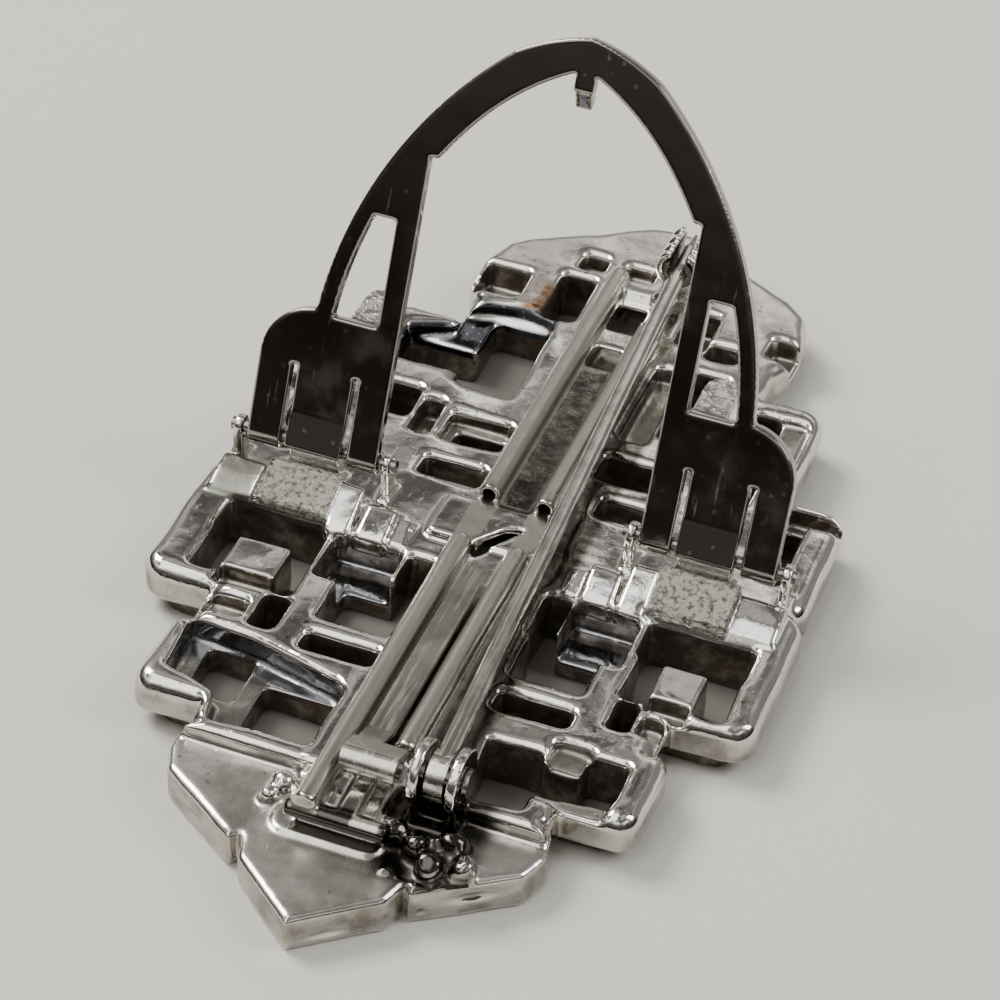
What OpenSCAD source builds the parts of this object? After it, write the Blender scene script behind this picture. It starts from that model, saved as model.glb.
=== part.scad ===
// Dress clip seen from behind: a pierced, stepped cast body lying face down,
// with a hinged clip frame, a rail track, a brooch pin and its catch.
// Y runs along the body, from the pointed tip (-Y) to the round top (+Y).

/* [Cast body] */
// Thickness of the stepped tiers
tier_h = 2.3; // [1.5:0.1:3]
// Height from the resting face to the back of the tiers
back_h = 3.3; // [2.5:0.1:4]
// Half width of the hinge tier
wing_x = 17.6; // [15:0.1:20]

/* [Clip frame] */
// Sheet thickness of the clip frame
sheet_t = 0.8; // [0.5:0.05:1]
// Lean of the open frame from upright, in degrees
lean = 22; // [0:1:40]
// Half width of the opening between the legs
leg_in = 7.7; // [6:0.1:9]
// Half width over the feet
foot_out = 15.5; // [14:0.1:17]
// Height of the straight part of the opening
leg_h = 19.6; // [15:0.1:22]

/* [Hinge] */
// Radius of the hinge rods
rod_r = 0.38; // [0.3:0.02:0.6]
// Outer radius of the rolled knuckles
knuckle_r = 0.72; // [0.6:0.02:1]
// Running clearance of the rods and rivet
fit_gap = 0.05; // [0.02:0.01:0.1]

/* [Track and pin] */
// Distance of each rail from the middle line
rail_x = 1.65; // [1.4:0.05:2]
// Outer radius of the rails
rail_r = 0.63; // [0.4:0.01:0.8]
// Radius of the pin stem at the joint
stem_r = 0.5; // [0.35:0.05:0.6]
// Radius of the pin stem near its point
stem_end_r = 0.38; // [0.3:0.02:0.5]

/* [Hidden] */
$fn = 40;
e = 0.02;
// The hinge line is y 0 and the tiers' back is z 0 while the pieces are drawn.
mid_y = 1;
rod_y = 0.97;
rod_z = 2.07;
// Where the rod sits behind the sheet's own plane, and above its outline's start.
rod_back = knuckle_r - sheet_t / 2;
rod_up = 1.8;
joint = [4.3, -20.2, 1.6];
catch = [1.9, 26.4, 2.1];

module place() {
  translate([0, -mid_y, back_h])
    children();
}

module both() {
  children();
  mirror([1, 0, 0])
    children();
}

// A box between two corners.
module block(x0, x1, y0, y1, z0, z1) {
  translate([x0, y0, z0])
    cube([x1 - x0, y1 - y0, z1 - z0]);
}

// A slab with all four upright corners rounded.
module slab(x0, x1, y0, y1, z0, z1, r) {
  translate([0, 0, z0])
    linear_extrude(z1 - z0)
      union() {
        translate([x0 + r, y0])
          square([x1 - x0 - 2 * r, y1 - y0]);
        translate([x0, y0 + r])
          square([x1 - x0, y1 - y0 - 2 * r]);
        for (x = [x0 + r, x1 - r], y = [y0 + r, y1 - r])
          translate([x, y])
            circle(r);
      }
}

// A prism whose outline is drawn in the Y-Z plane.
module ramp(x0, x1, pts) {
  translate([x0, 0, 0])
    rotate([90, 0, 90])
      linear_extrude(x1 - x0)
        polygon(pts);
}

// A rod along X.
module bar(x0, x1, y, z, r) {
  translate([x0, y, z])
    rotate([0, 90, 0])
      cylinder(r = r, h = x1 - x0);
}

// A rod along Y.
module rail(x, y0, y1, z, r) {
  translate([x, y0, z])
    rotate([-90, 0, 0])
      cylinder(r = r, h = y1 - y0);
}

// Outline of the round top tier.
module crown(z0, z1) {
  translate([0, 0, z0])
    linear_extrude(z1 - z0)
      polygon([[-9.4, 18], [-9.6, 20.6], [-10.2, 22], [-10.3, 24.8], [-9.7, 26.9], [-8.6, 28],
        [-7.2, 28.8], [-5, 29.9], [-3.4, 31.1], [-1.7, 32.1], [0, 32.4], [1.7, 32.1], [3.4, 31.1],
        [5, 29.9], [7.2, 28.8], [8.6, 28], [9.7, 26.9], [10.3, 24.8], [10.2, 22], [9.6, 20.6],
        [9.4, 18]]);
}

// Outline of the pointed tip plate, with a nick in each side.
module tip(z0, z1) {
  translate([0, 0, z0])
    linear_extrude(z1 - z0)
      polygon([[-10.2, -19.5], [-10.4, -21], [-9.8, -22.6], [-4.9, -25.9], [-4.5, -25.3],
        [-4, -26.9], [0, -30.1], [4, -26.9], [4.5, -25.3], [4.9, -25.9], [9.8, -22.6],
        [10.4, -21], [10.2, -19.5]]);
}

// The solid tiers, before their wells are cut.
module tiers() {
  slab(-wing_x, wing_x, -9.8, 0.8, -tier_h, 0, 1.5);
  slab(-17.3, 17.3, 0.2, 10, -tier_h, 0, 1.5);
  slab(-13.6, 13.6, 9.4, 18.4, -tier_h, 0, 1.5);
  slab(-14.1, 14.1, -18.2, -12.2, -tier_h, 0, 1.2);
  block(-13.2, 13.2, -13, -9, -tier_h, 0);
  block(-10, 10, -20.3, -17, -tier_h, 0);
  crown(-tier_h, 0);
  tip(-back_h + 0.1, -1);
  slab(-3.4, 2.6, -24.6, -20, -1.5, -0.8, 0.9);
  // Front relief, plain, which the body rests on.
  slab(-16.4, 16.4, -9.4, 9.4, -back_h, -tier_h + e, 1.2);
  slab(-12.5, 12.5, 9, 17.6, -back_h, -tier_h + e, 1.2);
  slab(-13, 13, -17.5, -9, -back_h, -tier_h + e, 1.2);
  slab(-9.2, 9.2, -19.8, -17, -back_h, -tier_h + e, 1.2);
  slab(-8.8, 8.8, 16.5, 27.5, -back_h, -tier_h + e, 1.2);
  slab(-8, 8, -22.5, -18, -back_h, -tier_h + e, 1.2);
}

// Cuts one well. A depth of 0 goes right through; any other depth leaves a floor there.
module well(w) {
  slab(w[0], w[1], w[2], w[3], w[4] == 0 ? -back_h - 1 : w[4], 2, 0.35);
}

// Cuts a well with a drawn outline.
module well_shape(pts, z) {
  translate([0, 0, z])
    linear_extrude(5)
      polygon(pts);
}

// Left half: x0, x1, y0, y1 and the depth of its floor.
left_wells = [
  // hinge tier: U round a raised block, the block's top and shelf
  [-15.1, -8.95, -5.2, -2.8, 0],
  [-15, -13.5, -8.5, -4.8, 0],
  [-10.3, -8.95, -8.9, -4.8, 0],
  [-13.6, -10.2, -8.2, -4.8, -0.3],
  [-13.4, -10.3, -9.4, -7.8, -1.4],
  // hinge tier: inner pocket, its rough floor and its holes
  [-8.55, -4.5, -6.6, -3.1, -2.1],
  [-7, -2.8, -9.9, -5.8, -2.1],
  [-7, -3.2, -9.7, -5.5, 0],
  [-4.2, -2.6, -5.9, -3.2, 0],
  [-6.9, -2.7, -12.4, -11.1, 0],
  [-13, -10.6, -11.6, -10.1, -1.2],
  [-10.2, -8.7, -11.8, -9.1, 0],
  // tier below the hinge
  [-11.7, -9, -16.4, -13, 0],
  [-7.8, -3.5, -19, -14.6, 0],
  // tier above the hinge
  [-8.5, -7.2, 7, 10.2, -1.6],
  [-6.6, -2.8, 7.1, 9.6, -1],
  [-6, -2.8, 7.2, 8.9, 0],
  [-6.6, -2.8, 3.6, 5.3, -1.8],
  [-11.6, -8.9, 8.1, 10.9, 0],
  [-15.3, -13.9, 2.6, 8.4, 0],
  [-17, -13.9, 7.9, 9.2, -1.4],
  // upper tiers
  [-7.6, -4.1, 12.2, 19.7, 0],
  [-11.9, -7.2, 13.4, 16.3, 0],
  [-9.9, -7.1, 21.5, 24.2, -2],
  [-5.3, -3.1, 20.5, 25, 0],
  [-4.7, -3.1, 25.9, 27.4, -1.3],
  [-1.9, 0, 26, 27.3, -1]
];

// Right half, in the same order where the two halves match.
right_wells = [
  [9.8, 15.8, -5.8, -3.1, 0],
  [14, 15.7, -9.1, -5.2, 0],
  [10.1, 11.5, -9.2, -5.2, 0],
  [11.4, 14.1, -8.7, -5.5, -0.3],
  [11.5, 13.9, -9.7, -8.4, -1.4],
  [5.5, 9.4, -7.2, -3.1, -2.1],
  [4.2, 8.3, -10.1, -6.3, -2.1],
  [4.2, 8, -9.9, -6, 0],
  [3.9, 5.4, -6.6, -3.2, 0],
  [4.2, 8.4, -12.8, -11.3, 0],
  [11.7, 13.1, -11.6, -10.1, -1.2],
  [10.2, 11.4, -11.7, -9.3, 0],
  [8.2, 10.3, -15.4, -13.7, -0.7],
  [8.2, 12.3, -18, -16.5, -0.8],
  [2.9, 6.6, 7.2, 9.4, 0],
  [4, 6.9, 4, 5.7, -1.8],
  [8.9, 11.6, 8.1, 10.9, 0],
  [13.9, 15.3, 2.6, 8.4, 0],
  [13.9, 17.2, 8, 9.2, -1.4],
  [3, 4.6, 11.2, 18.4, -1.2],
  [5, 7.4, 12.2, 18.9, 0],
  [9.7, 11.3, 13.4, 16.6, 0],
  [11.2, 13, 12.2, 16.6, -0.5],
  [5.2, 7.2, 20.4, 21.9, -1.6],
  [8.5, 11, 22, 23.9, -1.5],
  [3.1, 5, 21, 24.6, -2]
];

module wells() {
  for (w = concat(left_wells, right_wells))
    well(w);
  // Pocket of the tier below the hinge, on the left, under a slanting ridge.
  well_shape([[-13, -12.5], [-9.5, -12.8], [-6, -13.6], [-4, -14.1], [-3.4, -14.7], [-3.4, -19],
    [-9.1, -19.2], [-9.6, -17.3], [-11.2, -16.7], [-12.7, -16.4]], -1.6);
  // The same tier on the right.
  well_shape([[4.9, -14.9], [8, -14.8], [8.1, -15.5], [10.2, -15.5], [10.2, -14.1], [12.4, -14.1],
    [12.4, -16.8], [8.3, -17.2], [8.3, -19.2], [5.2, -19.4]], -back_h - 1);
  // Ledge round the big well of the upper tiers.
  well_shape([[-12, 13.3], [-7.2, 13.2], [-7.2, 12], [-4, 12], [-3.9, 18.6], [-4.3, 20.1],
    [-6.2, 20.5], [-8, 20.1], [-9.2, 19.6], [-9.5, 17.4], [-12, 16.3]], -1);
}

// One half of the fixed hinge: eye, solder pad, side lugs.
module hinge_half() {
  difference() {
    union() {
      bar(9.9, 13, rod_y, rod_z, 0.58);
      block(9.9, 13, rod_y - 0.58, rod_y + 0.58, -0.3, rod_z);
      for (x = [6.9, 15.8])
        union() {
          bar(x, x + 0.6, rod_y, rod_z, 0.7);
          block(x, x + 0.6, rod_y - 0.7, rod_y + 0.7, -0.3, rod_z);
        }
    }
    bar(6.5, 17, rod_y, rod_z, rod_r + fit_gap);
  }
  // Solder pad climbing from the well's edge up to the eye.
  ramp(9.4, 13.8, [[-2.7, -0.6], [-2.7, 0.45], [-2.4, 0.68], [-0.9, 1.25], [-0.2, 1.48],
    [0.1, 1.3], [0.35, 0.6], [0.35, -0.4]]);
  // Bright slanting lugs beside the pad.
  ramp(7.85, 9.3, [[-3.5, -0.8], [-3.5, 0.1], [-3.3, 0.3], [-0.7, 1.3], [-0.3, 1.2], [-0.1, 0.6],
    [-0.1, -0.6]]);
  ramp(5.7, 7.5, [[-3.4, -0.8], [-3.4, 0.05], [-3.2, 0.25], [-1.3, 0.95], [-0.8, 0.85],
    [-0.5, -0.6]]);
  ramp(4.7, 5.5, [[-3.2, -0.8], [-3.2, 0], [-1.2, 0.5], [-0.8, -0.6]]);
  ramp(14, 16.6, [[-2.7, -0.5], [-2.7, 0.3], [-1.6, 0.7], [-0.3, 0.95], [0, 0.6], [0, -0.5]]);
}

// Stamped track: floor strip, tube rails, cross plate with a bare tab, end bar.
module track() {
  difference() {
    union() {
      block(-1.9, 1.9, -23.8, 25, 0.02, 0.3);
      rail(-rail_x, 2.2, 25, rail_r + 0.15, rail_r);
      rail(rail_x, 2.2, 20.5, rail_r + 0.15, rail_r);
      rail(-rail_x, -24, -1.8, rail_r + 0.15, rail_r);
      rail(rail_x, -18.6, -1.8, rail_r + 0.15, rail_r);
      slab(-4, 2.4, -1.5, 2, 0.1, 0.55, 0.5);
    }
    rail(-rail_x, 2, 8, rail_r + 0.15, rail_r - 0.25);
    rail(rail_x, 2, 8, rail_r + 0.15, rail_r - 0.25);
    rail(-rail_x, -8, -1.5, rail_r + 0.15, rail_r - 0.25);
    rail(rail_x, -8, -1.5, rail_r + 0.15, rail_r - 0.25);
    translate([0, 0, -1])
      linear_extrude(3)
        polygon([[1.3, 0.7], [-0.9, -2.6], [-1.1, -1.4], [0.2, 0.3]]);
    block(-0.9, 0.8, 16.4, 18.4, -1, 1);
    block(-0.9, 0.9, 20.2, 22.8, -1, 1);
  }
  bar(-2.7, 2.8, -23.8, 0.15, 0.5);
  block(-2.2, 2.2, -23.6, -20, -1.2, 0.1);
  block(0, 0.95, -23.8, -20.6, 0.05, 0.6);
  ramp(-1, 1, [[23, 0.2], [23.6, 0.9], [24.6, 0.6], [25, 0.2]]);
}

// Two round cheeks that hold the rivet of the pin, on a soldered foot.
module pin_bracket() {
  difference() {
    union() {
      for (x = [joint[0] - 1.3, joint[0] + 0.7])
        union() {
          bar(x, x + 0.6, joint[1], joint[2], 1.8);
          block(x, x + 0.6, joint[1] - 1.3, joint[1] + 1.3, -1.2, joint[2]);
        }
      block(joint[0] - 1.3, joint[0] + 1.3, joint[1] - 1.3, joint[1] + 1.3, -1.2, -0.2);
    }
    bar(joint[0] - 2, joint[0] + 2, joint[1], joint[2], 0.5 + fit_gap);
  }
  // Solder lumps round the foot, and two low stops by the edge of the tip plate.
  for (s = [[2.9, -22.9, -0.4, 0.8], [4.4, -23.3, -0.5, 0.9], [5.9, -22.6, -0.5, 0.95],
    [5.4, -24.2, -0.55, 0.8], [6.8, -23.8, -0.6, 0.75], [-3.7, -21.7, -0.6, 0.75],
    [-4.1, -22.7, -0.7, 0.5]])
    translate([s[0], s[1], s[2]])
      sphere(r = s[3], $fn = 24);
}

// Catch housing: a ribbed sleeve with a slot along its top, on a foot.
module catch_housing() {
  difference() {
    union() {
      rail(catch[0], 24.8, 28, catch[2], 1.25);
      for (y = [24.8, 25.7, 26.6, 27.5])
        rail(catch[0], y, y + 0.5, catch[2], 1.45);
      block(catch[0] - 0.9, catch[0] + 0.9, 25, 27.8, -0.8, catch[2] - 0.9);
    }
    rail(catch[0], 24, 29, catch[2], 1);
    block(catch[0] - 0.5, catch[0] + 0.5, 24, 29, catch[2], catch[2] + 2);
    block(catch[0], catch[0] + 2, 26.25, 26.55, catch[2] - 0.6, catch[2] + 2);
  }
}

module casting() {
  color([0.78, 0.76, 0.72])
    place() {
      difference() {
        tiers();
        wells();
        block(-1, 1, -19.5, 24.4, -1, 1);
      }
      both()
        hinge_half();
      track();
      pin_bracket();
      catch_housing();
    }
}

// Everything below height h, and above it two arcs that meet in a point.
module crown_limit(x, y, r, h) {
  translate([-30, 0])
    square([60, h]);
  intersection() {
    translate([-x, y])
      circle(r, $fn = 90);
    translate([x, y])
      circle(r, $fn = 90);
  }
}

// Outline of the clip frame in its own plane, feet at the bottom.
module frame_outline() {
  difference() {
    union() {
      difference() {
        intersection() {
          translate([-12.5, 7.26])
            circle(25.25, $fn = 90);
          translate([12.5, 7.26])
            circle(25.25, $fn = 90);
          crown_limit(1.9, 17.07, 11, 23.2);
        }
        intersection() {
          translate([-12.5, 7.26])
            circle(23.25, $fn = 90);
          translate([12.5, 7.26])
            circle(23.25, $fn = 90);
          crown_limit(6, 12.71, 14.76, 22.2);
          translate([-leg_in, 0])
            square([2 * leg_in, 40]);
        }
      }
      both() {
        translate([leg_in, rod_up])
          square([foot_out - leg_in, 6.6 - rod_up]);
        translate([leg_in, 5])
          square([4.7, 4.7]);
        translate([12.4, 6.6])
          circle(3.1);
      }
    }
    both()
      frame_cuts();
  }
}

// Everything below the rod, the window, spring slots and leg opening of one side.
module frame_cuts() {
  translate([0, -1])
    square([20, 1 + rod_up]);
  intersection() {
    translate([-12.5, 7.26])
      circle(24.25, $fn = 90);
    translate([8.95, 9.5])
      square([4, 6.2]);
  }
  translate([13.15, 0])
    square([0.4, 6.3]);
  translate([9.5, 0])
    square([0.35, 6.3]);
  translate([9.7, 0])
    square([3.6, 3.6]);
  translate([-1, 0])
    square([leg_in + 1, leg_h]);
}

// Grip prong bent back from a window, with a round end.
module grip_prong() {
  translate([9.95, 9.1, -sheet_t / 2])
    rotate([110, 0, 0])
      translate([0, 0, -0.3])
        linear_extrude(0.6)
          union() {
            translate([-0.95, -2.7])
              square([1.9, 3]);
            translate([0, -2.7])
              circle(0.95);
          }
}

// Spring tongue: the sheet thins towards its lower end, which passes in front of the eye.
module spring_tongue() {
  ramp(9.85, 13.15, [[1.5, 0.34], [1.5, 0.6], [3.6, 0.4], [3.65, 0.4], [3.65, -0.4],
    [3.4, -0.4], [2.3, 0.31]]);
}

// Apex prong, bent back in its lower half.
module apex_prong() {
  translate([-0.55, 25, -sheet_t / 2])
    cube([1.1, 1.6, sheet_t]);
  translate([0, 25.2, 0])
    rotate([35, 0, 0])
      translate([-0.45, -1.2, -sheet_t / 2])
        cube([0.9, 1.3, sheet_t]);
}

module clip_frame() {
  color([0.16, 0.14, 0.13])
    place()
      translate([0, rod_y, rod_z])
        rotate([90 - lean, 0, 0])
          translate([0, -rod_up, rod_back])
            difference() {
              union() {
                translate([0, 0, -sheet_t / 2])
                  linear_extrude(sheet_t)
                    frame_outline();
                both() {
                  bar(leg_in, 9.5, rod_up, -rod_back, knuckle_r);
                  bar(13.55, foot_out, rod_up, -rod_back, knuckle_r);
                  grip_prong();
                  spring_tongue();
                }
                apex_prong();
              }
              both()
                bar(6.5, 17, rod_up, -rod_back, rod_r + fit_gap);
            }
}

module hinge_rod_left() {
  color([0.2, 0.18, 0.17])
    place()
      bar(-16.6, -6.7, rod_y, rod_z, rod_r);
}

module hinge_rod_right() {
  color([0.2, 0.18, 0.17])
    place()
      bar(6.7, 16.6, rod_y, rod_z, rod_r);
}

// Flat strip lying in the lower channel, its end curled over like a hood.
module slide_plate() {
  color([0.7, 0.68, 0.64])
    place() {
      ramp(-0.7, 0.7, [[-20, 1.7], [-20, 2], [-17.6, 1], [-4, 1], [-4, 0.7], [-17.6, 0.7]]);
      difference() {
        union() {
          bar(-0.9, 2.1, -20.5, 1.3, 0.85);
          ramp(-0.9, 2.1, [[-20.5, 1.85], [-20.5, 2.15], [-20.2, 2.1], [-19.2, 1.68], [-19.2, 1.4]]);
        }
        bar(-1, 2.2, -20.5, 1.3, 0.55);
        block(-1, 2.2, -21.5, -20.5, 0, 1.25);
      }
    }
}

module pin_rivet() {
  color([0.5, 0.48, 0.45])
    place()
      union() {
        bar(joint[0] - 1.35, joint[0] + 1.35, joint[1], joint[2], 0.5);
        for (x = [joint[0] - 1.58, joint[0] + 1.35])
          bar(x, x + 0.23, joint[1], joint[2], 0.8);
      }
}

// Round pin: an eye on the rivet and a tapering stem lying in the catch.
module pin_stem() {
  color([0.75, 0.73, 0.7])
    place() {
      difference() {
        union() {
          bar(joint[0] - 0.5, joint[0] + 0.5, joint[1], joint[2], 1.35);
          translate([joint[0], joint[1], joint[2] + 0.85])
            pin_wire();
        }
        bar(joint[0] - 1, joint[0] + 1, joint[1], joint[2], 0.5 + fit_gap);
      }
    }
}

module pin_wire() {
  rotate([-90.44, 0, 2.95]) {
    cylinder(r = stem_r, h = 44.6);
    translate([0, 0, 44.6])
      cylinder(r1 = stem_r, r2 = stem_end_r, h = 1);
    translate([0, 0, 45.6])
      cylinder(r = stem_end_r, h = 2);
    translate([0, 0, 47.6])
      cylinder(r1 = stem_end_r, r2 = 0.12, h = 1.6);
  }
}

// Turning sleeve of the catch with its finger tab, slot up when open.
module catch_roller() {
  color([0.3, 0.28, 0.26])
    place()
      difference() {
        union() {
          rail(catch[0], 24.7, 28.1, catch[2], 0.94);
          block(catch[0] + 0.6, catch[0] + 2, 26.3, 26.5, catch[2] - 0.4, catch[2] + 0.4);
        }
        rail(catch[0], 24, 29, catch[2], 0.62);
        block(catch[0] - 0.5, catch[0] + 0.5, 24, 29, catch[2], catch[2] + 2);
      }
}

casting();
clip_frame();
hinge_rod_left();
hinge_rod_right();
slide_plate();
pin_rivet();
pin_stem();
catch_roller();
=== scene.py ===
import bpy
import bmesh
import math
import numpy as np
from mathutils import Matrix, Vector, kdtree


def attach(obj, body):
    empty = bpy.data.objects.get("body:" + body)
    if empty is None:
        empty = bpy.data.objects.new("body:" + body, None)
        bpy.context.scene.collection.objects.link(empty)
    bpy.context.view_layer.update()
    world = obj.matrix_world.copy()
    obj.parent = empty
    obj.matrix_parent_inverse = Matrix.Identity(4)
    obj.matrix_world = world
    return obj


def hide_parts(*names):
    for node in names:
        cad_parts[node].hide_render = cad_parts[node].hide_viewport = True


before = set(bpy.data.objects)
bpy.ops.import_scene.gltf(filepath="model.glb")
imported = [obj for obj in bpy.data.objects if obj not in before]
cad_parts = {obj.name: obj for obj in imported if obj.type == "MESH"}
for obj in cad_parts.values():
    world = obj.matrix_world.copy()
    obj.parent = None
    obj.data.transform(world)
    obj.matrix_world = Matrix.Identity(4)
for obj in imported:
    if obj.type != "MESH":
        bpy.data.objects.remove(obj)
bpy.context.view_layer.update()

scene = bpy.context.scene
mm = 0.001
hingeShift = Vector((0, -1.0, 3.3))  # from the hinge line on the tiers' back to the row frame, in mm


def say(text):
    print("stage:", text, flush=True)


def place(x, y, z):
    return (Vector((x, y, z)) + hingeShift) * mm


# Nodes

def newMaterial(name):
    material = bpy.data.materials.new(name)
    material.use_nodes = True
    tree = material.node_tree
    shader = next(n for n in tree.nodes if n.type == "BSDF_PRINCIPLED")
    return material, tree, shader


def addNode(tree, kind, x=0, **values):
    node = tree.nodes.new(kind)
    node.location = (x, 0)
    for key, value in values.items():
        if key in node.inputs:
            node.inputs[key].default_value = value
        else:
            setattr(node, key, value)
    return node


def ramp(tree, source, stops, x=0):
    node = addNode(tree, "ShaderNodeValToRGB", x)
    elements = node.color_ramp.elements
    while len(elements) < len(stops):
        elements.new(0.5)
    for element, (position, color) in zip(elements, stops):
        element.position = position
        element.color = (color, color, color, 1) if isinstance(color, float) else (*color, 1)
    tree.links.new(source, node.inputs["Fac"])
    return node.outputs[0]


def mathNode(tree, operation, a, b=None, clamp=False):
    node = addNode(tree, "ShaderNodeMath", operation=operation, use_clamp=clamp)
    for i, value in enumerate((a, b)):
        if value is None:
            continue
        if isinstance(value, (int, float)):
            node.inputs[i].default_value = value
        else:
            tree.links.new(value, node.inputs[i])
    return node.outputs[0]


def mixValue(tree, factor, a, b, kind="FLOAT", blend="MIX"):
    node = addNode(tree, "ShaderNodeMix", data_type=kind, blend_type=blend)
    slots = {"FLOAT": (0, 2, 3), "RGBA": (0, 6, 7)}[kind]
    for i, value in zip(slots, (factor, a, b)):
        if hasattr(value, "is_output"):
            tree.links.new(value, node.inputs[i])
        elif isinstance(value, tuple):
            node.inputs[i].default_value = (*value, 1)
        else:
            node.inputs[i].default_value = value
    return node.outputs[{"FLOAT": 0, "RGBA": 2}[kind]]


def smoothStep(tree, source, low, high):  # 0 at low, 1 at high
    node = addNode(tree, "ShaderNodeMapRange", interpolation_type="SMOOTHSTEP")
    for name, value in (("From Min", low), ("From Max", high)):
        if hasattr(value, "is_output"):
            tree.links.new(value, node.inputs[name])
        else:
            node.inputs[name].default_value = value
    tree.links.new(source, node.inputs["Value"])
    return node.outputs[0]


def noiseNode(tree, vector, **values):
    node = addNode(tree, "ShaderNodeTexNoise", **values)
    tree.links.new(vector, node.inputs["Vector"])
    return node.outputs["Fac"]


def splitVector(tree, vector):
    split = addNode(tree, "ShaderNodeSeparateXYZ")
    tree.links.new(vector, split.inputs[0])
    return split.outputs


def objectVector(tree):
    return addNode(tree, "ShaderNodeTexCoord", -1400).outputs["Object"]


def nearBox(tree, vector, low, high, soft):  # in mm from the hinge line, alike left and right
    low, high = place(*low), place(*high)
    parts = splitVector(tree, vector)
    total = None
    for i, axis in enumerate("XYZ"):
        value = parts[axis]
        if axis == "X":
            value = mathNode(tree, "ABSOLUTE", value)
        middle, half = (low[i] + high[i]) / 2, (high[i] - low[i]) / 2
        away = mathNode(tree, "ABSOLUTE", mathNode(tree, "SUBTRACT", value, middle))
        inside = smoothStep(tree, away, half + soft * mm, half - soft * mm)
        total = inside if total is None else mathNode(tree, "MULTIPLY", total, inside)
    return total


def addBump(tree, shader, height):
    bump = addNode(tree, "ShaderNodeBump", Strength=1.0, Distance=1.0)
    tree.links.new(height, bump.inputs["Height"])
    tree.links.new(bump.outputs["Normal"], shader.inputs["Normal"])


# Shared effects

def newGroup(name, inputs):
    group = bpy.data.node_groups.new(name, "ShaderNodeTree")
    group.interface.new_socket("Vector", in_out="INPUT", socket_type="NodeSocketVector")
    for label, value in inputs.items():
        kind = "NodeSocketVector" if isinstance(value, tuple) else "NodeSocketFloat"
        group.interface.new_socket(label, in_out="INPUT", socket_type=kind).default_value = value
    group.interface.new_socket("Mask", in_out="OUTPUT", socket_type="NodeSocketFloat")
    return group, addNode(group, "NodeGroupInput", -900).outputs, addNode(group, "NodeGroupOutput", 600)


def useGroup(tree, group, vector, **values):
    node = addNode(tree, "ShaderNodeGroup")
    node.node_tree = group
    tree.links.new(vector, node.inputs["Vector"])
    for key, value in values.items():
        node.inputs[key].default_value = value
    return node.outputs[0]


def plateClouds():  # cloudy patches where the plate has gone satin
    group, ins, outs = newGroup("plateClouds", {"Scale": 260.0, "Low": 0.45, "High": 0.65})
    noise = addNode(group, "ShaderNodeTexNoise", -600, Detail=5.0, Roughness=0.62)
    group.links.new(ins["Vector"], noise.inputs["Vector"])
    group.links.new(ins["Scale"], noise.inputs["Scale"])
    group.links.new(smoothStep(group, noise.outputs["Fac"], ins["Low"], ins["High"]), outs.inputs["Mask"])
    return group


def fineScratches():  # long fine scratches along one axis
    group, ins, outs = newGroup("fineScratches", {"Stretch": (900.0, 60.0, 900.0), "Threshold": 0.62})
    stretch = addNode(group, "ShaderNodeVectorMath", -650, operation="MULTIPLY")
    group.links.new(ins["Vector"], stretch.inputs[0])
    group.links.new(ins["Stretch"], stretch.inputs[1])
    noise = noiseNode(group, stretch.outputs[0], Scale=1.0, Detail=3.0, Roughness=0.7)
    group.links.new(smoothStep(group, noise, ins["Threshold"], 0.8), outs.inputs["Mask"])
    return group


def smallSpecks():  # small pits and specks
    group, ins, outs = newGroup("specks", {"Scale": 1500.0, "Size": 0.16})
    cells = addNode(group, "ShaderNodeTexVoronoi", -600)
    group.links.new(ins["Vector"], cells.inputs["Vector"])
    group.links.new(ins["Scale"], cells.inputs["Scale"])
    group.links.new(mathNode(group, "LESS_THAN", cells.outputs["Distance"], ins["Size"]), outs.inputs["Mask"])
    return group


cloudGroup = plateClouds()
scratchGroup = fineScratches()
speckGroup = smallSpecks()

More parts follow.
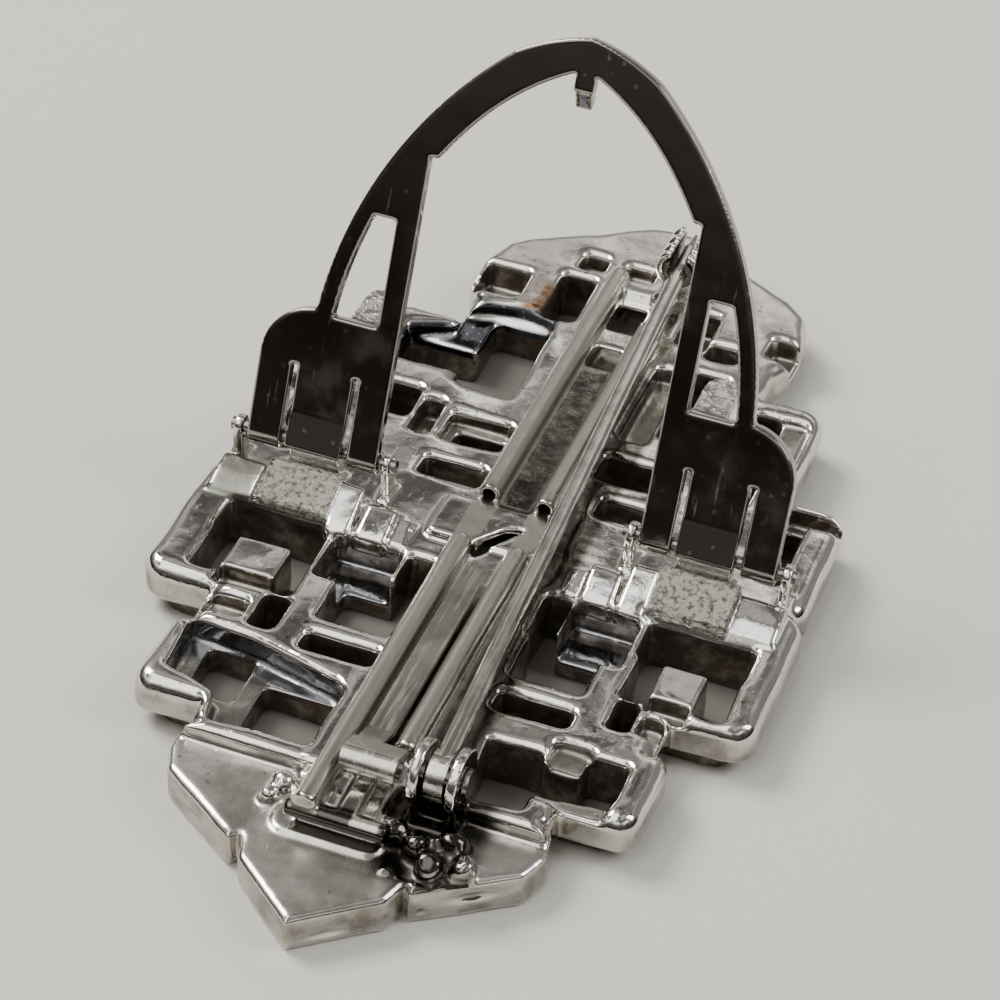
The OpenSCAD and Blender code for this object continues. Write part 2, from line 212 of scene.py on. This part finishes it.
# View and light
viewValues = {
    "camera": (43.834, -132.949, 120.184),  # from the hinge line, mm
    "right": (0.9350555, 0.35136593, 0.04704468),
    "up": (-0.26007148, 0.5897327, 0.76457711),
    "ahead": (-0.24090256, 0.72715701, -0.64281306),
    "lens": 120.1,
    "sensor": 36,
    "clip": (0.01, 20),
    "floorSize": 1.5,
    "floorColor": (0.66, 0.645, 0.61),
    "floorShade": (0.16, 0.15, 0.135),
    "floorRough": 0.9,
    "shade": ((16.4, -9.4, 9.4), (12.5, 8, 17.6), (13, -17.5, -8), (8.8, 16.5, 27.5), (9.2, -22, -16)),
    "shadeSoft": 0.6,
    "keyLight": ((-0.40, 0.10, 0.47), (0.28, 0.26), 4.2, (1, 0.97, 0.92)),  # place, size, power, color
    "fillLight": ((0.45, 0.10, 0.42), (0.20, 0.35), 1.6, (1, 1, 1)),
    "power": 0.75,  # of the whole sky
    "sky": ((0.0, 0.02), (0.14, 0.04), (0.3, 0.12), (0.46, 0.4), (0.53, 1.25), (0.6, 1.3), (0.67, 0.42),
            (0.74, 0.26), (0.86, 0.4), (1.0, 0.5)),  # brightness from the horizon to overhead
    "patchScale": 2.6,
    "patches": ((0.4, (0.36, 0.35, 0.33)), (0.48, (0.74, 0.72, 0.68)), (0.56, (1.45, 1.41, 1.31))),
    "frontGlow": ((0.0, (0.05, 0.036, 0.032)), (0.05, (0.06, 0.042, 0.037)), (0.09, (0.028, 0.022, 0.021)),
                  (0.14, (0.09, 0.08, 0.075)), (0.2, (0.17, 0.16, 0.15)), (0.3, (0.09, 0.09, 0.09))),
    "frontTop": 0.3,  # the front glow ends at this height
    "backGlow": ((0.0, 0.32), (0.3, 0.28), (0.46, 0.12), (0.53, 0.0)),
    "strip": 2.7,  # a long soft box over the slanted lugs
    "stripPlace": (("X", -0.24, 0.22), ("Y", -0.28, 0.42)),
    "stripSoft": 0.04,
}


def setCamera():
    data = bpy.data.cameras.new("camera")
    camera = bpy.data.objects.new("camera", data)
    scene.collection.objects.link(camera)
    right, up, ahead = (Vector(viewValues[name]) for name in ("right", "up", "ahead"))
    spot = place(*viewValues["camera"])
    camera.matrix_world = Matrix((
        (right.x, up.x, -ahead.x, spot.x),
        (right.y, up.y, -ahead.y, spot.y),
        (right.z, up.z, -ahead.z, spot.z),
        (0, 0, 0, 1),
    ))
    data.sensor_width = viewValues["sensor"]
    data.lens = viewValues["lens"]
    data.clip_start, data.clip_end = viewValues["clip"]
    scene.camera = camera


def paleFloor():
    material, tree, shader = newMaterial("floorPale")
    vector = objectVector(tree)
    shade = None
    for half, low, high in viewValues["shade"]:  # darker under the body, where no light comes in
        box = nearBox(tree, vector, (-half, low, -9), (half, high, 9), viewValues["shadeSoft"])
        shade = box if shade is None else mathNode(tree, "MAXIMUM", shade, box)
    color = mixValue(tree, shade, viewValues["floorColor"], viewValues["floorShade"], "RGBA")
    tree.links.new(color, shader.inputs["Base Color"])
    shader.inputs["Roughness"].default_value = viewValues["floorRough"]
    return material


def lightSky():
    world = bpy.data.worlds.new("studio")
    scene.world = world
    world.use_nodes = True
    tree = world.node_tree
    vector = addNode(tree, "ShaderNodeTexCoord", -900).outputs["Generated"]
    parts = splitVector(tree, vector)
    height = parts["Z"]
    patches = noiseNode(tree, vector, Scale=viewValues["patchScale"], Detail=2.0)
    glow = mixValue(tree, 1.0, ramp(tree, height, viewValues["sky"], -500),
                    ramp(tree, patches, viewValues["patches"]), "RGBA", "MULTIPLY")
    toFront = mathNode(tree, "MULTIPLY", smoothStep(tree, parts["Y"], -0.35, -0.8),
                       mathNode(tree, "LESS_THAN", height, viewValues["frontTop"]))
    glow = mixValue(tree, toFront, glow, ramp(tree, height, viewValues["frontGlow"]), "RGBA")
    toBack = smoothStep(tree, parts["Y"], 0.25, 0.7)
    extra = mathNode(tree, "MULTIPLY", ramp(tree, height, viewValues["backGlow"]), toBack)
    strip = mathNode(tree, "MULTIPLY", mathNode(tree, "GREATER_THAN", height, 0.0), viewValues["strip"])
    for axis, middle, half in viewValues["stripPlace"]:
        away = mathNode(tree, "ABSOLUTE", mathNode(tree, "SUBTRACT", parts[axis], middle))
        inside = smoothStep(tree, away, half + viewValues["stripSoft"], half - viewValues["stripSoft"])
        strip = mathNode(tree, "MULTIPLY", strip, inside)
    glow = mixValue(tree, 1.0, glow, mathNode(tree, "ADD", extra, strip), "RGBA", "ADD")
    background = tree.nodes["Background"]
    tree.links.new(glow, background.inputs["Color"])
    background.inputs["Strength"].default_value = viewValues["power"]


def areaLight(name):
    location, size, power, color = viewValues[name]
    data = bpy.data.lights.new(name, "AREA")
    data.shape = "RECTANGLE"
    data.size, data.size_y = size
    data.energy = power
    data.color = color
    light = bpy.data.objects.new(name, data)
    light.location = location
    light.rotation_euler = (-Vector(location)).to_track_quat("-Z", "Y").to_euler()
    scene.collection.objects.link(light)


say("camera, floor and light")
setCamera()
lightSky()
areaLight("keyLight")
areaLight("fillLight")
bm = bmesh.new()
bmesh.ops.create_grid(bm, x_segments=1, y_segments=1, size=viewValues["floorSize"])
floorMesh = bpy.data.meshes.new("floor")
bm.to_mesh(floorMesh)
bm.free()
floor = bpy.data.objects.new("floor", floorMesh)
scene.collection.objects.link(floor)
floorMesh.materials.append(paleFloor())


# Tools for the softened copies

def copyMesh(source, name):
    mesh = source.data.copy()
    mesh.name = name
    piece = bpy.data.objects.new(name, mesh)
    scene.collection.objects.link(piece)
    mesh.materials.clear()
    bm = bmesh.new()
    bm.from_mesh(mesh)
    bmesh.ops.remove_doubles(bm, verts=bm.verts, dist=1e-7)
    bm.to_mesh(mesh)
    bm.free()
    return piece


def applyModifiers(piece):
    graph = bpy.context.evaluated_depsgraph_get()
    done = bpy.data.meshes.new_from_object(piece.evaluated_get(graph))
    piece.modifiers.clear()
    old = piece.data
    piece.data = done
    bpy.data.meshes.remove(old)


def remeshPiece(piece, voxel):
    remesh = piece.modifiers.new("remesh", "REMESH")
    remesh.mode = "VOXEL"
    remesh.voxel_size = voxel
    remesh.adaptivity = 0.0
    applyModifiers(piece)
    print("remeshed", piece.name, len(piece.data.polygons), flush=True)


def smoothPiece(piece, passes, weights=None):  # one weight for each point
    smooth = piece.modifiers.new("smooth", "SMOOTH")
    smooth.factor = 0.5
    smooth.iterations = passes
    if weights is not None:
        group = piece.vertex_groups.new(name="soft")
        for weight in np.unique(weights):
            group.add(np.flatnonzero(weights == weight).tolist(), float(weight), "REPLACE")
        smooth.vertex_group = group.name
    applyModifiers(piece)
    piece.vertex_groups.clear()


def shadeSmooth(piece, material):
    piece.data.polygons.foreach_set("use_smooth", [True] * len(piece.data.polygons))
    piece.data.materials.append(material)


def readPoints(mesh):
    points = np.empty(len(mesh.vertices) * 3)
    mesh.vertices.foreach_get("co", points)
    normals = np.empty(len(mesh.vertices) * 3)
    mesh.vertex_normals.foreach_get("vector", normals)
    return points.reshape(-1, 3), normals.reshape(-1, 3)


def writePoints(mesh, points):
    mesh.vertices.foreach_set("co", points.ravel())
    mesh.update()


def writeAttribute(mesh, name, values):
    attribute = mesh.attributes.get(name) or mesh.attributes.new(name, "FLOAT", "POINT")
    attribute.data.foreach_set("value", values)


def inBox(points, low, high):
    return np.all((points > place(*low)) & (points < place(*high)), axis=1)


def outsideCells(points, cell):  # true for points on the body's outer sides, seen in plan
    low = points.min(axis=0)[:2] - 3 * cell
    index = ((points[:, :2] - low) / cell).astype(int)
    size = index.max(axis=0) + 4
    filled = np.zeros(size, bool)
    filled[index[:, 0], index[:, 1]] = True
    outside = np.zeros(size, bool)
    outside[0, :] = outside[-1, :] = outside[:, 0] = outside[:, -1] = True
    count = 0
    while outside.sum() != count:
        count = outside.sum()
        for shift in ((1, 0), (-1, 0), (0, 1), (0, -1)):
            outside |= np.roll(outside, shift, axis=(0, 1)) & ~filled
    for _ in range(2):  # two cells wider, to reach over the side faces
        for shift in ((1, 0), (-1, 0), (0, 1), (0, -1)):
            outside |= np.roll(outside, shift, axis=(0, 1))
    return outside[index[:, 0], index[:, 1]]


def nearest(points, targets):  # distance in plan
    tree = kdtree.KDTree(len(targets))
    for i, target in enumerate(targets):
        tree.insert((target[0], target[1], 0), i)
    tree.balance()
    return np.array([tree.find((point[0], point[1], 0))[2] for point in points])


def roundedTop(distance, top, radius):
    inward = np.clip(radius - distance, 0, radius)
    return top - radius + np.sqrt(radius ** 2 - inward ** 2)


def waves(points, amount, length, seed):
    random = np.random.default_rng(seed)
    total = np.zeros(len(points))
    for _ in range(9):
        direction = random.normal(size=3)
        direction /= np.linalg.norm(direction)
        step = length * random.uniform(0.6, 1.7)
        total += np.sin(points @ direction * (2 * math.pi / step) + random.uniform(0, 6.3)) / 9 ** 0.5
    return total * amount


# Casting
castValues = {
    "bright": (0.82, 0.795, 0.75),
    "dull": (0.68, 0.66, 0.62),
    # rubbed outer edges, lightened further as a painted highlight
    "wornEdgeSheen": (0.9, 0.89, 0.86),
    "tipTone": (0.40, 0.375, 0.33),
    "speck": (0.25, 0.23, 0.2),
    "stain": (0.26, 0.13, 0.06),
    "grime": (0.13, 0.105, 0.08),  # painted shade inside the wells
    "creaseShade": (0.05, 0.043, 0.036),  # painted shade in the inner corners, with the dark tarnish that gathers there
    "pocket": (0.3, 0.31, 0.34),  # the blue-black pocket floors
    "ledge": (0.09, 0.095, 0.11),
    # painted glints speckling the dark pockets and the ledge
    "paintedGlint": (0.8, 0.8, 0.8),
    # a painted highlight on the ledge's lip and on the dark pockets' edges
    "gleam": (0.88, 0.88, 0.87),
    "joint": (0.08, 0.074, 0.066),  # round the pin's joint
    # the two side tones are painted shade on the outer side faces, mottled
    "side": (0.50, 0.475, 0.43),
    "sideShadeDark": (0.24, 0.215, 0.185),
    "pad": (0.47, 0.47, 0.41),  # rough solder
    "padDark": (0.12, 0.115, 0.095),
    "rail": (0.58, 0.555, 0.50),
    "track": (0.14, 0.13, 0.112),  # darker floor between the rails, and painted shade next to the right rail under the pin
    "lugDull": (0.26, 0.26, 0.225),
    "wellShadeMatte": 0.15,  # how far the painted well shade hides the metal
    "specular": 0.35,
    "rough": {"bright": 0.04, "cloudy": 0.22, "scuffs": 0.42, "grime": 0.22, "pocket": 0.07, "gleam": 0.12,
              "satin": 0.28, "tip": 0.27, "grit": 0.3, "stain": 0.6, "crease": 0.4, "worn": 0.08},
    "bump": {"wave": 0.00005, "grit": 0.00022, "dust": 0.000004, "scuffs": -0.000006},  # in metres
    "boxes": {  # where the tones lie: low corner, high corner, softness, in mm from the hinge line
        "pad": ((9.35, -2.9, -0.1), (13.9, 0.4, 1.7), 0.15),
        "roughFloor": ((2.6, -6.9, -1.6), (8.5, -5.0, -0.5), 0.4),
        "tip": ((-1, -31, -1.5), (10.4, -20.6, -0.7), 0.4),
        "crown": ((-1, 19.5, -1), (11, 34, 0.2), 1.2),
        "stain": ((4.2, 19.4, -2), (6.6, 23.6, 0.6), 0.5),
        "pocket": ((4.4, -7.3, -2.4), (8.7, -3.0, -1.9), 0.1),
        "slope": ((4, -14.6, -1.7), (13, -12.2, -0.3), 0.1),
        "ledge": ((3.9, 12.2, -1.6), (12.2, 20.8, -0.12), 0.1),
        "joint": ((2.5, -25.7, -9), (7.3, -19.2, 9), 0.6),
        "jointLevel": ((-30, -40, -1.4), (30, 40, 1.2), 0.2),
        "bar": ((-3.2, -24.6, -0.7), (3.2, -23.2, 0.8), 0.15),
        "lug": ((14.0, -3.2, -0.2), (16.9, 0.7, 1.7), 0.2),
        # painted shade under the pin, next to the right rail
        "beside": ((2.35, -17, -0.6), (4.8, 17, 0.45), 0.3),
        "track": ((-1.0, 1.5, -1.8), (1.0, 18, 0.75), 0.12),
        "rail": ((0.9, -24.2, 0.35), (2.4, 25.2, 1.6), 0.1),
    },
    "voxel": 0.00013,
    "targetTris": 190000,
    "tipLine": -20.35,  # the tip plate starts here, in mm from the hinge line
    "tipTop": -1,  # and lies this much lower
    "rimEdge": 0.0009,
    "tipEdge": 0.0003,
    "wellEdge": 0.0004,
    "wellBand": (-0.9, -0.12),  # heights at which the wells' outlines are read
    "cell": 0.0002,
    "smoothPasses": 10,
    "fineParts": (((-1, 24, -0.2), (5.5, 30, 6)), ((2.4, -26, -0.6), (8, -18.4, 6))),  # catch and pin joint
    "fineSmooth": 0.25,
    "ledgeBox": ((-12.2, 12.0, -1.9), (-3.9, 20.9, 0.2)),  # the dark ledge over the upper left well
    "ledgePasses": 30,
    "lipTop": -0.8,  # the ledge shines only below this height, where it turns down into the well
    "waves": 0.00005,
    "waveLength": 0.0044,
    "ripples": 0.000006,
    "rippleLength": 0.0013,
    "lumpBox": ((3.0, -25.3, -1.2), (7.4, -23.0, 1.0)),  # solder by the pin's joint
    "lumps": 0.00013,
    "lumpLength": 0.0014,
    "dentLine": -0.021,  # dents lie on upright faces beyond this y
    "dents": ((1.6, 0.75, 1.1, 0.3, 0.16), (7.6, 1.3, 0.8, 0.25, 0.2), (5.4, 0.8, 0.2, 0.2, 0.15),
              (-7.6, 1.0, 0.7, 0.25, 0.12)),  # x, z, half length, half height and depth in mm
    "bendLow": 0.05,
    "bendRange": 0.12,
    "bendSpread": 2,
}


def castPlate():
    material, tree, shader = newMaterial("castPlate")
    vector = objectVector(tree)
    across = splitVector(tree, vector)["X"]

    def attribute(name):
        return addNode(tree, "ShaderNodeAttribute", attribute_name=name).outputs["Fac"]

    def box(name):
        return nearBox(tree, vector, *castValues["boxes"][name])

    def clouds(scale, low, high):
        return useGroup(tree, cloudGroup, vector, Scale=scale, Low=low, High=high)

    def both(a, b, clamp=False):
        return mathNode(tree, "MULTIPLY", a, b, clamp)

    def either(a, b):
        return mathNode(tree, "MAXIMUM", a, b)

    def without(mask):
        return mathNode(tree, "SUBTRACT", 1.0, mask)

    def uneven(mask, amount):  # a mask that thins out in places
        return both(mask, mathNode(tree, "ADD", both(unevenNoise, amount), 0.75), clamp=True)

    def tint(color, mask, name):
        return mixValue(tree, mask, color, castValues[name], "RGBA")

    def twoTones(mask, first, second):
        return mixValue(tree, mask, castValues[first], castValues[second], "RGBA")

    leftSide = mathNode(tree, "LESS_THAN", across, 0.0)
    rightSide = mathNode(tree, "GREATER_THAN", across, 0.0)
    hollow, crease, edge = attribute("hollow"), attribute("crease"), attribute("edge")
    scuffs = useGroup(tree, scratchGroup, vector, Stretch=(2400.0, 700.0, 1500.0), Threshold=0.56)
    specks = useGroup(tree, speckGroup, vector, Scale=900.0, Size=0.12)
    paintedGlints = useGroup(tree, speckGroup, vector, Scale=2600.0, Size=0.2)
    unevenNoise = clouds(1100.0, 0.3, 0.62)
    pad, tip, rail = box("pad"), box("tip"), box("rail")
    grit = either(pad, box("roughFloor"))
    lug = both(leftSide, box("lug"))

    # plate, rubbed edges lightened as a painted highlight, tip and stain
    cloudy = either(clouds(170.0, 0.45, 0.75), both(tip, 0.55))
    color = twoTones(cloudy, "bright", "dull")
    # the outer edges are rubbed bright and carry a painted highlight
    worn = both(edge, without(hollow))
    color = tint(color, both(worn, 0.8), "wornEdgeSheen")
    color = tint(color, both(both(tip, clouds(150.0, 0.42, 0.6)), 0.8), "tipTone")
    stain = both(both(box("stain"), leftSide), clouds(900.0, 0.3, 0.55))
    color = tint(color, stain, "stain")
    color = tint(color, both(specks, 0.6), "speck")

    # painted shade in the wells, dark pockets, and the ledge with its painted highlight
    # painted shade in the wells, thinned out in places
    grime = uneven(hollow, 0.3)
    color = tint(color, grime, "grime")
    ledge = both(leftSide, box("ledge"))
    slope = both(hollow, both(leftSide, box("slope")))
    dark = either(either(box("pocket"), slope), ledge)
    # a painted highlight on the dark parts' edges and on the ledge's lip
    shine = either(edge, both(ledge, attribute("lip")))
    gleam = both(dark, shine)
    dark = both(dark, without(shine))
    # painted glints speckle the dark pockets and the ledge
    darkColor = tint(twoTones(ledge, "pocket", "ledge"), both(paintedGlints, 0.3), "paintedGlint")
    color = mixValue(tree, dark, color, darkColor, "RGBA")
    color = tint(color, gleam, "gleam")

    # pin joint, painted shade on the outer sides, solder pads, outer lug, track with painted shade under the
    # pin, and rails
    joint = either(both(both(rightSide, box("joint")), box("jointLevel")), box("bar"))
    color = tint(color, joint, "joint")
    # painted shade on the outer side faces
    sideShadeColor = twoTones(clouds(480.0, 0.42, 0.66), "side", "sideShadeDark")
    color = mixValue(tree, attribute("side"), color, sideShadeColor, "RGBA")
    color = mixValue(tree, pad, color, twoTones(clouds(3400.0, 0.44, 0.66), "pad", "padDark"), "RGBA")
    color = tint(color, lug, "lugDull")
    # darker floor between the rails, and painted shade under the pin next to the right rail
    track = uneven(either(both(rightSide, box("beside")), box("track")), 0.25)
    color = tint(color, track, "track")
    color = tint(color, rail, "rail")
    # painted shade in the inner corners, with dark tarnish
    color = tint(color, both(crease, 0.65), "creaseShade")
    tree.links.new(color, shader.inputs["Base Color"])

    levels = castValues["rough"]
    rough = mixValue(tree, cloudy, levels["bright"], levels["cloudy"])
    satin = either(rail, both(box("crown"), 0.8))
    masks = {"scuffs": both(scuffs, 0.8), "grime": grime, "pocket": dark, "gleam": gleam, "satin": satin,
             "tip": tip, "grit": either(grit, lug), "stain": stain, "crease": crease, "worn": worn}
    for name, mask in masks.items():  # each lies over the ones before it
        rough = mixValue(tree, mask, rough, levels[name])
    tree.links.new(rough, shader.inputs["Roughness"])
    metal = without(both(both(grime, without(dark)), castValues["wellShadeMatte"]))
    tree.links.new(metal, shader.inputs["Metallic"])
    shader.inputs["Specular IOR Level"].default_value = castValues["specular"]

    heights = {
        "wave": noiseNode(tree, vector, Scale=420.0, Detail=2.0),
        "grit": both(noiseNode(tree, vector, Scale=4200.0, Detail=4.0, Roughness=0.7), grit),
        "dust": clouds(1500.0, 0.45, 0.75),
        "scuffs": scuffs,
    }
    height = None
    for name, source in heights.items():
        part = both(source, castValues["bump"][name])
        height = part if height is None else mathNode(tree, "ADD", height, part)
    addBump(tree, shader, height)
    return material


def softenCast(piece):  # rounds the rims of the tiers, the tip plate and the wells
    points, normals = readPoints(piece.data)
    upright = np.abs(normals[:, 2]) < 0.35
    rim = outsideCells(points, castValues["cell"])
    onTip = points[:, 1] < place(0, castValues["tipLine"], 0).y
    top = np.where(onTip, place(0, 0, castValues["tipTop"]).z, place(0, 0, 0).z)
    rimRadius = np.where(onTip, castValues["tipEdge"], castValues["rimEdge"])
    wellRadius = np.where(onTip, 0.0, castValues["wellEdge"])
    low, high = (place(0, 0, z).z for z in castValues["wellBand"])
    inBand = (points[:, 2] < high) & (points[:, 2] > low)
    toRim = nearest(points, points[rim & upright])
    toWell = nearest(points, points[~rim & upright & inBand])
    free = points[:, 2] < top + 0.00003  # what stands on the tiers isn't cut down
    lowered = np.minimum(roundedTop(toRim, top, rimRadius), points[:, 2])
    nearTop = free & (points[:, 2] > place(0, 0, -0.5).z) & (wellRadius > 0)
    curve = roundedTop(toWell, top, np.maximum(wellRadius, 1e-6))
    points[:, 2] = np.where(free, lowered, points[:, 2])
    points[:, 2] = np.where(nearTop, np.minimum(curve, points[:, 2]), points[:, 2])
    writePoints(piece.data, points)


def fineWeights(piece):
    points, _ = readPoints(piece.data)
    small = np.zeros(len(points), bool)
    for low, high in castValues["fineParts"]:
        small |= inBox(points, low, high)
    return np.where(small, castValues["fineSmooth"], 1.0)


def ledgeWeights(piece):
    points, _ = readPoints(piece.data)
    return np.where(inBox(points, *castValues["ledgeBox"]), 1.0, 0.0)


def waveCast(piece):
    points, normals = readPoints(piece.data)
    middle = np.clip((np.abs(points[:, 0]) - 0.0027) / 0.0008, 0.15, 1)  # rails and strip stay straight
    amount = waves(points, castValues["waves"], castValues["waveLength"], 4) * middle
    amount += waves(points, castValues["ripples"], castValues["rippleLength"], 9) * middle
    lumpy = inBox(points, *castValues["lumpBox"])
    amount += waves(points, castValues["lumps"], castValues["lumpLength"], 21) * lumpy
    faces = (points[:, 1] < castValues["dentLine"]) & (np.abs(normals[:, 2]) < 0.5)
    for x, z, long, tall, deep in castValues["dents"]:
        away = ((points[:, 0] / mm - x) / long) ** 2 + ((points[:, 2] / mm - z) / tall) ** 2
        amount -= faces * np.exp(-away) * deep * mm
    points += normals * amount[:, None]
    points[:, 2] = np.maximum(points[:, 2], 0)
    writePoints(piece.data, points)


def markCast(piece):  # writes the masks that the material reads
    mesh = piece.data
    points, normals = readPoints(mesh)
    rim = outsideCells(points, castValues["cell"])
    depth = np.clip((place(0, 0, -0.15).z - points[:, 2]) / 0.0004, 0, 1)
    wall = 1 - np.abs(normals[:, 2])
    tip = np.clip((place(0, -20.1, 0).y - points[:, 1]) / 0.0004, 0, 1)
    # hollow: how deep a point lies in a well, for the painted shade there
    writeAttribute(mesh, "hollow", depth * (0.6 + 0.4 * wall) * (1 - tip) * ~rim)
    # side: the outer side faces, for their painted shade
    writeAttribute(mesh, "side", np.clip(wall * 1.6 - 0.6, 0, 1) * rim)
    # lip: where the ledge turns down into the well, for its painted highlight
    facing = np.clip((-normals[:, 1] - 0.15) / 0.15, 0, 1) * np.clip((normals[:, 2] - 0.45) / 0.15, 0, 1)
    writeAttribute(mesh, "lip", facing * (points[:, 2] < place(0, 0, castValues["lipTop"]).z))
    ends = np.empty(len(mesh.edges) * 2, int)
    mesh.edges.foreach_get("vertices", ends)
    first, second = ends[::2], ends[1::2]
    total = len(points)
    count = np.maximum(np.bincount(first, minlength=total) + np.bincount(second, minlength=total), 1)

    def around(values):  # mean of the neighbours
        return (np.bincount(first, values[second], total) + np.bincount(second, values[first], total)) / count

    length = np.linalg.norm(points[first] - points[second], axis=1)
    reach = (np.bincount(first, length, total) + np.bincount(second, length, total)) / count
    bend = sum((around(points[:, k]) - points[:, k]) * normals[:, k] for k in range(3))
    bend /= np.maximum(reach, 1e-6)
    # crease: inner corners, for the painted shade and tarnish there; edge: outer edges, for the rubbed edges
    # and their painted highlight
    for name, amount in (("crease", bend), ("edge", -bend)):
        value = np.clip((amount - castValues["bendLow"]) / castValues["bendRange"], 0, 1)
        for _ in range(castValues["bendSpread"]):
            value = 0.5 * value + 0.5 * around(value)
        writeAttribute(mesh, name, np.clip(value * 1.8, 0, 1))


say("casting")
body = copyMesh(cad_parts["casting"], "castBody")
remeshPiece(body, castValues["voxel"])
softenCast(body)
smoothPiece(body, castValues["smoothPasses"], fineWeights(body))
smoothPiece(body, castValues["ledgePasses"], ledgeWeights(body))
waveCast(body)
decimate = body.modifiers.new("decimate", "DECIMATE")
decimate.ratio = min(1.0, castValues["targetTris"] / (2 * len(body.data.polygons)))
applyModifiers(body)
shadeSmooth(body, castPlate())
markCast(body)
print("kept", len(body.data.polygons), flush=True)
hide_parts("casting")
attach(body, "body")

# Clip frame
frameValues = {
    "color": (0.30, 0.275, 0.26),
    "speck": (0.75, 0.72, 0.68),
    # prong and prongDark: a painted reflection that makes the bent prongs brighter than the sheet, mottled
    "prong": (0.74, 0.71, 0.66),
    "prongDark": (0.36, 0.34, 0.31),
    "rough": 0.07,
    "cloudRough": 0.16,
    "scratchRough": 0.35,
    "prongRough": 0.22,
    "wave": 0.00002,  # heights in metres
    "scratch": -0.000004,
    "mottle": 0.00006,
    "lean": 22.0,  # degrees behind upright
    "behind": (-0.45, -0.75),  # the bent prongs begin this far behind the sheet, in mm
    "voxel": 0.00009,
    "smoothPasses": 4,
}


def darkSheet():
    material, tree, shader = newMaterial("darkSheet")
    vector = objectVector(tree)
    clouds = useGroup(tree, cloudGroup, vector, Scale=320.0, Low=0.45, High=0.7)
    scratches = useGroup(tree, scratchGroup, vector, Stretch=(2600.0, 500.0, 300.0), Threshold=0.6)
    specks = mathNode(tree, "MULTIPLY", useGroup(tree, speckGroup, vector, Scale=900.0, Size=0.12), 0.8)
    mottle = useGroup(tree, cloudGroup, vector, Scale=1300.0, Low=0.42, High=0.62)
    color = mixValue(tree, specks, frameValues["color"], frameValues["speck"], "RGBA")

    # Behind the sheet are the bent prongs, brushed, with a painted reflection that makes them brighter than
    # the sheet.
    lean = math.radians(frameValues["lean"])
    outward = Vector((0, -math.cos(lean), math.sin(lean)))
    depth = addNode(tree, "ShaderNodeVectorMath", operation="DOT_PRODUCT")
    depth.inputs[1].default_value = outward
    tree.links.new(vector, depth.inputs[0])
    sheet = outward.dot(place(0, 0.11, 0.8))  # a point of the sheet's middle plane
    behind = addNode(tree, "ShaderNodeMapRange")
    for name, away in zip(("From Min", "From Max"), frameValues["behind"]):
        behind.inputs[name].default_value = sheet + away * mm
    tree.links.new(depth.outputs["Value"], behind.inputs["Value"])
    onProng = behind.outputs[0]
    # painted reflection on the prongs, mottled
    prongSheenColor = mixValue(tree, mottle, frameValues["prong"], frameValues["prongDark"], "RGBA")
    color = mixValue(tree, onProng, color, prongSheenColor, "RGBA")
    tree.links.new(color, shader.inputs["Base Color"])

    rough = mixValue(tree, clouds, frameValues["rough"], frameValues["cloudRough"])
    rough = mixValue(tree, scratches, rough, frameValues["scratchRough"])
    rough = mixValue(tree, onProng, rough, frameValues["prongRough"])
    tree.links.new(rough, shader.inputs["Roughness"])
    shader.inputs["Metallic"].default_value = 1.0
    wave = noiseNode(tree, vector, Scale=300.0, Detail=1.0)
    height = mathNode(tree, "ADD", mathNode(tree, "MULTIPLY", wave, frameValues["wave"]),
                      mathNode(tree, "MULTIPLY", scratches, frameValues["scratch"]))
    prongs = mathNode(tree, "MULTIPLY", mathNode(tree, "MULTIPLY", mottle, onProng), frameValues["mottle"])
    addBump(tree, shader, mathNode(tree, "ADD", height, prongs))
    return material


say("clip frame")
arch = copyMesh(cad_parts["clip_frame"], "archSheet")
level = Matrix.Rotation(-math.radians(90 - frameValues["lean"]), 4, "X")  # lays the sheet flat for the remesh
arch.data.transform(level)
remeshPiece(arch, frameValues["voxel"])
smoothPiece(arch, frameValues["smoothPasses"])
arch.data.transform(level.inverted())
shadeSmooth(arch, darkSheet())
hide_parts("clip_frame")
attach(arch, "frame")

# Rods, rivet, pin, strip and catch
wireValues = {
    "drawnWire": {"color": (0.66, 0.64, 0.59), "rough": 0.14, "stretch": (4000.0, 120.0, 4000.0),
                  "depth": 0.000008},
    "darkSteel": {"color": (0.33, 0.31, 0.29), "rough": 0.2, "stretch": (2500.0, 2500.0, 2500.0),
                  "depth": 0.000008},
    "stripPlate": {"color": (0.58, 0.56, 0.51), "rough": 0.2, "stretch": (3500.0, 150.0, 3500.0),
                   "depth": 0.000002},
    "dull": 0.72,  # the cloudy parts' share of the color
    "scratched": 0.22,  # added to the roughness
}


def wireMaterial(name):
    values = wireValues[name]
    material, tree, shader = newMaterial(name)
    vector = objectVector(tree)
    lines = useGroup(tree, scratchGroup, vector, Stretch=values["stretch"], Threshold=0.45)
    clouds = useGroup(tree, cloudGroup, vector, Scale=700.0, Low=0.4, High=0.7)
    dull = tuple(wireValues["dull"] * c for c in values["color"])
    tree.links.new(mixValue(tree, clouds, values["color"], dull, "RGBA"), shader.inputs["Base Color"])
    rough = mixValue(tree, lines, values["rough"], values["rough"] + wireValues["scratched"])
    tree.links.new(rough, shader.inputs["Roughness"])
    shader.inputs["Metallic"].default_value = 1.0
    addBump(tree, shader, mathNode(tree, "MULTIPLY", lines, values["depth"]))
    return material


def dress(node, material):
    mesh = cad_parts[node].data
    for i in range(max(1, len(mesh.materials))):
        if len(mesh.materials) <= i:
            mesh.materials.append(material)
        else:
            mesh.materials[i] = material


say("small parts")
drawnWire = wireMaterial("drawnWire")
darkSteel = wireMaterial("darkSteel")
stripPlate = wireMaterial("stripPlate")
for node in ("hinge_rod_left", "hinge_rod_right", "pin_rivet", "catch_roller"):
    dress(node, darkSteel)
dress("slide_plate", stripPlate)
dress("pin_stem", drawnWire)

say("sizes")
